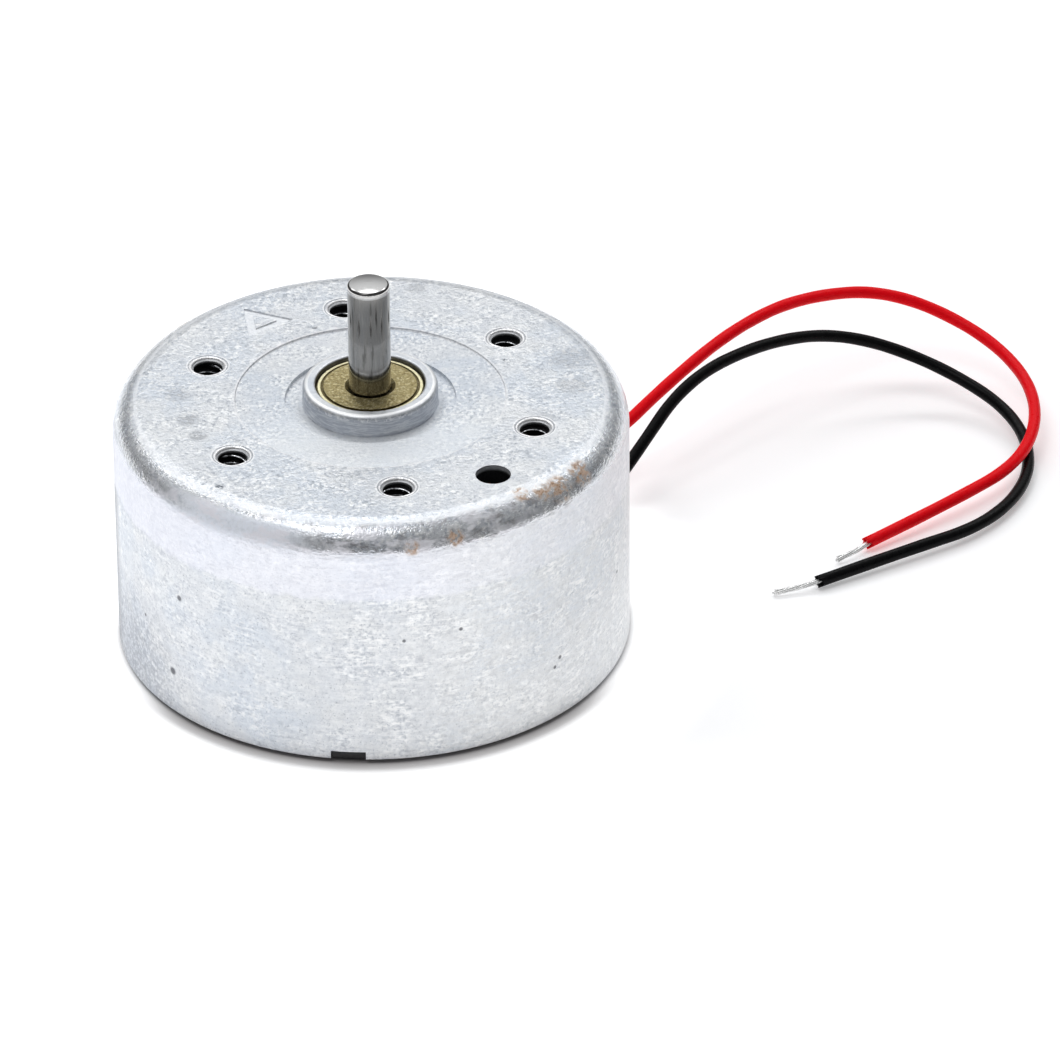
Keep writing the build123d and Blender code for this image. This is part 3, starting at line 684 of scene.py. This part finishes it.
def spring_bronze():
    """Rolled brush spring strip: yellow bronze with rolling lines and heat tint."""
    made = Finish("spring_bronze", srgb(216, 178, 112), 0.22, 1.0)
    rolled = made.noise(0.09, 3.0, stretch=(0.1, 1, 1))
    made.tint(made.ramp(rolled, 0.5, 0.75, 0.0, 0.6), srgb(176, 132, 74))
    made.tint(made.ramp(made.noise(1.1, 3.0, seed=2.0), 0.55, 0.75, 0.0, 0.5), srgb(168, 110, 74))
    made.roughen(rolled, 0.16, 0.34)
    made.bump(rolled, 0.003)
    return made.material


def rubber_pad():
    """Soft damping rubber: matt, dusty."""
    made = Finish("rubber_pad", srgb(46, 46, 48), 0.78)
    dust = made.noise(0.14, 4.0)
    made.tint(made.ramp(dust, 0.5, 0.75, 0.0, 0.5), srgb(82, 80, 78))
    made.roughen(made.noise(0.3, 3.0, seed=5.0), 0.68, 0.88)
    made.bump(dust, 0.012)
    return made.material


def tinned():
    """Hot-tinned copper: bright, with the copper showing through in scratches."""
    made = Finish("tinned", srgb(240, 240, 239), 0.3, 0.8)
    drag = made.noise(0.07, 3.0, stretch=(1, 1, 0.3))
    made.tint(made.ramp(drag, 0.5, 0.75, 0.0, 0.4), srgb(186, 185, 182))
    made.tint(made.ramp(made.noise(0.2, 4.0, seed=3.0), 0.68, 0.76, 0.0, 0.3), srgb(186, 132, 96))
    made.roughen(drag, 0.18, 0.36)
    made.bump(drag, 0.004)
    return made.material


def solder():
    """Set solder: bright and smooth with a frosted skin and brown flux."""
    made = Finish("solder", srgb(198, 200, 202), 0.22, 1.0)
    frost = made.noise(0.1, 3.0)
    made.tint(made.ramp(frost, 0.5, 0.72, 0.0, 0.6), srgb(156, 158, 162))
    made.tint(made.ramp(made.noise(0.5, 3.0, seed=6.0), 0.6, 0.75, 0.0, 0.6), srgb(142, 104, 58))
    made.roughen(made.noise(0.22, 3.0, seed=2.0), 0.14, 0.4)
    made.bump(frost, 0.01)
    return made.material


def pvc(name, colour, light, dark):
    """Extruded lead insulation: smooth, with draw lines and handling marks."""
    made = Finish(name, colour, 0.3, 0.0, {"Specular IOR Level": 0.08})
    blotch = made.noise(0.6, 3.0)
    fine = made.noise(0.08, 3.0, seed=2.0)
    made.tint(made.ramp(blotch, 0.45, 0.7, 0.0, 0.5), light)
    made.tint(made.ramp(fine, 0.45, 0.25, 0.0, 0.35), dark)
    made.roughen(made.noise(0.3, 3.0, seed=4.0), 0.24, 0.4)
    made.bump(blotch, 0.02)
    made.bump(fine, 0.003)
    return made.material


def red_pvc():
    return pvc("red_pvc", srgb(243, 6, 22), srgb(248, 18, 34), srgb(198, 4, 16))


def black_pvc():
    return pvc("black_pvc", srgb(8, 8, 9), srgb(14, 14, 15), srgb(4, 4, 4))


FINISHES = {
    make.__name__: make
    for make in (
        zinc_steel, cut_thread, rolled_lip, polished_steel, sintered_bronze, black_plastic, washer_steel,
        magnet, core_steel, insulator, copper_wire, copper, varistor, spring_bronze, rubber_pad,
        tinned, solder, red_pvc, black_pvc,
    )
}
materials = {}


def finish(slot):
    """The material of a slot of the record, made once."""
    if slot not in materials:
        materials[slot] = FINISHES[slot]()
    return materials[slot]


def dress_cad_nodes():
    """Gives each carried-over CAD node the finish of its slot."""
    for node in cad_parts.values():
        slot = node.material_slots[0].material.name.split(".")[0]
        node.material_slots[0].material = finish(slot)


# Pieces -----------------------------------------------------------------------------------------


def mesh_piece(name, points, faces, slot, make=None):
    """A mesh with points in millimetres, riding on the stator, in its slot's finish or another."""
    mesh = bpy.data.meshes.new(name)
    mesh.from_pydata([Vector(point) * MM for point in points], [], faces)
    mesh.validate()
    for face in mesh.polygons:
        face.use_smooth = True
    piece = bpy.data.objects.new(name, mesh)
    bpy.context.scene.collection.objects.link(piece)
    mesh.materials.append(finish(slot if make is None else make.__name__))
    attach(piece, "stator")
    return piece


def route_points(route):
    """Points in millimetres read from a smooth NURBS spline through the route."""
    curve = bpy.data.curves.new("route", "CURVE")
    curve.dimensions = "3D"
    spline = curve.splines.new("NURBS")
    spline.points.add(len(route) - 1)
    for point, place in zip(spline.points, route):
        point.co = (*place, 1.0)
    spline.order_u = 3
    spline.use_endpoint_u = True
    spline.resolution_u = 14
    holder = bpy.data.objects.new("route", curve)
    mesh = bpy.data.meshes.new_from_object(holder)
    points = [vertex.co.copy() for vertex in mesh.vertices]
    bpy.data.objects.remove(holder)
    bpy.data.meshes.remove(mesh)
    return points


def frames_along(points):
    """A tangent and two sideways directions at each point, carried along without twisting."""
    tangents = []
    for index in range(len(points)):
        before = points[max(index - 1, 0)]
        after = points[min(index + 1, len(points) - 1)]
        tangents.append((after - before).normalized())
    side = tangents[0].cross(Vector((0, 0, 1))).normalized()
    frames = []
    for tangent in tangents:
        side = (side - tangent * side.dot(tangent)).normalized()
        frames.append((tangent, side, tangent.cross(side)))
    return frames


def tube_rings(points, radii, sides):
    """Rings of points round a path, one for each path point."""
    rings = []
    for point, (_, side, over), radius in zip(points, frames_along(points), radii):
        rings.append([
            point + (side * math.cos(turn) + over * math.sin(turn)) * radius
            for turn in (2 * math.pi * step / sides for step in range(sides))
        ])
    return rings


def skin(rings):
    """Points and faces of the closed tube through the rings."""
    sides = len(rings[0])
    points = [point for ring in rings for point in ring]
    faces = []
    for ring in range(len(rings) - 1):
        for step in range(sides):
            after = (step + 1) % sides
            faces.append((
                ring * sides + step, ring * sides + after,
                (ring + 1) * sides + after, (ring + 1) * sides + step,
            ))
    last = (len(rings) - 1) * sides
    faces.append(tuple(reversed(range(sides))))
    faces.append(tuple(range(last, last + sides)))
    return points, faces


def jacket(name, route, slot, seed):
    """Insulation of one lead: a tube that ends in a torn cut round its bore."""
    luck = random.Random(seed)
    path = route_points(route)
    path = [point for index, point in enumerate(path)
            if index == 0 or (point - path[index - 1]).length > 1e-4]
    radii = [LEAD_R * (1 + 0.012 * math.sin(index * 0.9)) for index in range(len(path))]
    radii[0] = LEAD_R * 0.94
    rings = tube_rings(path, radii, JACKET_SIDES)
    tangent = frames_along(path)[-1][0]
    ragged = []
    for step in range(JACKET_SIDES):
        tear = 0.05 * math.sin(step * 0.9 + seed) + luck.uniform(-0.03, 0.03)
        notch = -0.16 if abs(step - JACKET_SIDES * 0.62) < 2.5 else 0.0
        ragged.append(tangent * (tear + notch))
    centre = path[-1]
    rings[-1] = [point + shift for point, shift in zip(rings[-1], ragged)]
    for share, back in ((0.9, -0.01), (LEAD_BORE_R / LEAD_R, 0.01), (LEAD_BORE_R / LEAD_R, 0.5)):
        rings.append([
            centre + (point - centre - shift) * share + shift * (1.0 if back < 0.4 else 0.0)
            - tangent * back
            for point, shift in zip(rings[len(path) - 1], ragged)
        ])
    points, faces = skin(rings)
    return mesh_piece(name, points, faces, slot), path


def strands(name, path, tip, seed):
    """Bare twisted strands that stand out of the jacket and lie on the floor."""
    luck = random.Random(seed)
    end = Vector(tip)
    start = path[-1] - frames_along(path)[-1][0] * STRAND_HIDDEN
    length = (end - start).length
    axis = (end - start).normalized()
    side = axis.cross(Vector((0, 0, 1))).normalized()
    over = side.cross(axis)
    points, faces = [], []
    ring_r = STRAND_BUNDLE_R - STRAND_R
    for strand in range(STRANDS_IN_RING + 1):
        short = luck.uniform(0.0, 0.16)
        phase = 2 * math.pi * strand / STRANDS_IN_RING
        flare = luck.uniform(0.0, 0.06)
        line = []
        for step in range(STRAND_STEPS + 1):
            along = (length - short) * step / STRAND_STEPS
            turn = phase + 2 * math.pi * along / STRAND_PITCH
            out = 0.0 if strand == STRANDS_IN_RING else ring_r
            out += flare * max(0.0, along / length - 0.8) * 5
            spot = start + axis * along + (side * math.cos(turn) + over * math.sin(turn)) * out
            spot -= side * STRAND_SAG * math.sin(math.pi * along / length)
            spot.z = max(spot.z, STRAND_R + 0.01)
            line.append(spot)
        new_points, new_faces = skin(tube_rings(line, [STRAND_R] * len(line), 10))
        first = len(points)
        points += new_points
        faces += [tuple(first + index for index in face) for face in new_faces]
    return mesh_piece(name, points, faces, "tinned")


def lead(colour, route, tip, seed):
    """One lead with its bare end; the model's own lead and its tip are hidden."""
    node, tip_node = "lead_" + colour, "lead_" + colour + "_tip"
    cover, path = jacket("jacket_" + colour, route, colour + "_pvc", seed)
    bare = strands("strands_" + colour, path, tip, seed + 1)
    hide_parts(node)
    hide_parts(tip_node)


def screw_centre(number, height):
    """A point on the axis of one screw bore."""
    turn = math.radians(SCREW_FIRST_ANGLE + number * 360 / SCREW_COUNT)
    return Vector((SCREW_CIRCLE_R * math.cos(turn), SCREW_CIRCLE_R * math.sin(turn), height))


def screw_thread(number):
    """Helical thread ridge in one screw bore."""
    centre = screw_centre(number, 0)
    steps = round((THREAD_HIGH_Z - THREAD_LOW_Z) / THREAD_PITCH * THREAD_STEPS)
    rings = []
    for step in range(steps + 1):
        around = 2 * math.pi * step / THREAD_STEPS + number
        height = THREAD_LOW_Z + THREAD_PITCH * step / THREAD_STEPS
        grow = min(1.0, step / 12, (steps - step) / 12)
        outward = Vector((math.cos(around), math.sin(around), 0))
        crest = SCREW_R - THREAD_CREST * grow
        profile = (
            (SCREW_R + 0.03, -0.12), (crest + 0.01, -0.03), (crest, 0.0),
            (crest + 0.02, 0.02), (SCREW_R + 0.03, 0.06),
        )
        rings.append([centre + outward * r + Vector((0, 0, height + z)) for r, z in profile])
    points, faces = skin(rings)
    return mesh_piece(f"screw_thread_{number + 1}", points, faces, "zinc_steel", cut_thread)


def screw_lip(number):
    """Raised lip round the mouth of one screw bore."""
    centre = screw_centre(number, LIP_Z)
    around_steps, section_steps = LIP_STEPS
    points, faces = [], []
    for step in range(around_steps):
        around = 2 * math.pi * step / around_steps
        outward = Vector((math.cos(around), math.sin(around), 0))
        thick = LIP_THICK * (1 + 0.12 * math.sin(2 * around + number) + 0.06 * math.sin(5 * around))
        for part in range(section_steps):
            section = 2 * math.pi * part / section_steps
            reach = LIP_R + thick * math.cos(section)
            points.append(centre + outward * reach + Vector((0, 0, thick * math.sin(section))))
            after, beside = (step + 1) % around_steps, (part + 1) % section_steps
            faces.append((
                step * section_steps + part, after * section_steps + part,
                after * section_steps + beside, step * section_steps + beside,
            ))
    return mesh_piece(f"screw_lip_{number + 1}", points, faces, "zinc_steel", rolled_lip)


# Stage ------------------------------------------------------------------------------------------


def camera():
    """The camera at the photograph's viewing angle."""
    data = bpy.data.cameras.new("camera")
    data.sensor_width = 36.0
    data.lens = CAMERA_LENS
    data.clip_start = 0.01
    data.clip_end = 50.0
    made = bpy.data.objects.new("camera", data)
    bpy.context.scene.collection.objects.link(made)
    look = (CAMERA_TARGET - CAMERA_PLACE).to_track_quat("-Z", "Y").to_matrix()
    roll = Matrix.Rotation(math.radians(CAMERA_ROLL), 3, "Z")
    made.matrix_world = Matrix.Translation(CAMERA_PLACE * MM) @ (look @ roll).to_4x4()
    bpy.context.scene.camera = made


def floor():
    """A plain white sheet with a faint glow away from the can and a painted shadow at its front rim."""
    half = FLOOR_HALF
    corners = [(-half, -half, 0), (half, -half, 0), (half, half, 0), (-half, half, 0)]
    mesh = bpy.data.meshes.new("floor")
    mesh.from_pydata(corners, [], [(0, 1, 2, 3)])
    made = bpy.data.objects.new("floor", mesh)
    bpy.context.scene.collection.objects.link(made)
    paper = Finish("paper", srgb(244, 244, 245), 0.7, 0.0, {"Emission Color": (1, 1, 1, 1)})
    paper.tint(paper.ramp(paper.noise(3.0, 2.0), 0.4, 0.7, 0.0, 0.4), srgb(246, 246, 248))
    radius = paper.polar()[0]
    clear_of_can = paper.ramp(radius, CAN_R - 0.2, CAN_R + 0.3)
    depth = paper.node("ShaderNodeSeparateXYZ", {0: paper.place}).outputs["Y"]
    from_leads = paper.node(
        "ShaderNodeVectorMath", {0: paper.place, 1: LEADS_MIDDLE}, operation="DISTANCE"
    ).outputs["Value"]
    round_leads = paper.product(paper.ramp(radius, *LEADS_START_R), paper.ramp(from_leads, *LEADS_EDGE))
    glow = paper.product(clear_of_can, paper.ramp(round_leads, 0.0, 1.0, TABLE_GLOW, TABLE_GLOW_LEADS))
    by_the_rim = paper.ramp(radius, CAN_R + CONTACT_REACH[1], CAN_R + CONTACT_REACH[0])
    contact = paper.product(by_the_rim, paper.ramp(depth, *CONTACT_FRONT))
    paper.tint(contact, srgb(178, 174, 174))
    lit = paper.product(glow, paper.ramp(contact, 0.0, 1.0, 1.0, CONTACT_GLOW))
    paper.tree.links.new(lit, paper.shader.inputs["Emission Strength"])
    mesh.materials.append(paper.material)


def softbox(name, place, target, width, height, radiance):
    """A flat lamp of a given brightness that faces a target; lengths in metres."""
    data = bpy.data.lights.new(name, "AREA")
    data.shape = "RECTANGLE"
    data.size = width
    data.size_y = height
    data.energy = radiance * math.pi * width * height
    made = bpy.data.objects.new(name, data)
    bpy.context.scene.collection.objects.link(made)
    made.location = place
    made.rotation_euler = (Vector(target) - Vector(place)).to_track_quat("-Z", "Y").to_euler()


def light():
    """A white studio: bright above, behind and beside the motor, dark in front and at the horizon."""
    world = bpy.data.worlds.new("studio")
    bpy.context.scene.world = world
    world.use_nodes = True
    nodes, links = world.node_tree.nodes, world.node_tree.links
    direction = nodes.new("ShaderNodeTexCoord").outputs["Generated"]
    parts = nodes.new("ShaderNodeSeparateXYZ")
    links.new(direction, parts.inputs[0])

    def eased(value, start, stop, low, high):
        made = nodes.new("ShaderNodeMapRange")
        made.interpolation_type = "SMOOTHSTEP"
        links.new(value, made.inputs["Value"])
        limits = {"From Min": start, "From Max": stop, "To Min": low, "To Max": high}
        for socket, number in limits.items():
            made.inputs[socket].default_value = number
        return made.outputs["Result"]

    def times(first, second):
        made = nodes.new("ShaderNodeMath")
        made.operation = "MULTIPLY"
        links.new(first, made.inputs[0])
        links.new(second, made.inputs[1])
        return made.outputs[0]

    facing = nodes.new("ShaderNodeVectorMath")
    facing.operation = "DOT_PRODUCT"
    facing.inputs[1].default_value = SKY_FACING
    links.new(direction, facing.inputs[0])
    sky = eased(facing.outputs["Value"], *SKY_EDGE, SKY_DIM, SKY_BRIGHT)
    risen = eased(parts.outputs["Z"], *HORIZON_EDGE, HORIZON_DIM, 1.0)
    background = nodes["Background"]
    background.inputs["Color"].default_value = SKY_COLOUR
    # The metal mirrors the studio; the camera itself sees plain white behind the motor.
    seen = nodes.new("ShaderNodeMix")
    links.new(nodes.new("ShaderNodeLightPath").outputs["Is Camera Ray"], seen.inputs[0])
    links.new(times(sky, risen), seen.inputs[2])
    seen.inputs[3].default_value = BACKGROUND_SEEN
    links.new(seen.outputs[0], background.inputs["Strength"])
    softbox("lamp_strip", STRIP_PLACE, (0, 0, 0), *STRIP_SIZE, STRIP_RADIANCE)
    softbox("lamp_key", KEY_PLACE, (0, 0, 0), *KEY_SIZE, KEY_RADIANCE)


camera()
lead("black", BLACK_ROUTE, BLACK_TIP, seed=3)
lead("red", RED_ROUTE, RED_TIP, seed=8)
dress_cad_nodes()
for number in range(SCREW_COUNT):
    screw_thread(number)
    screw_lip(number)
floor()
light()
bpy.context.scene.view_settings.view_transform = "Standard"
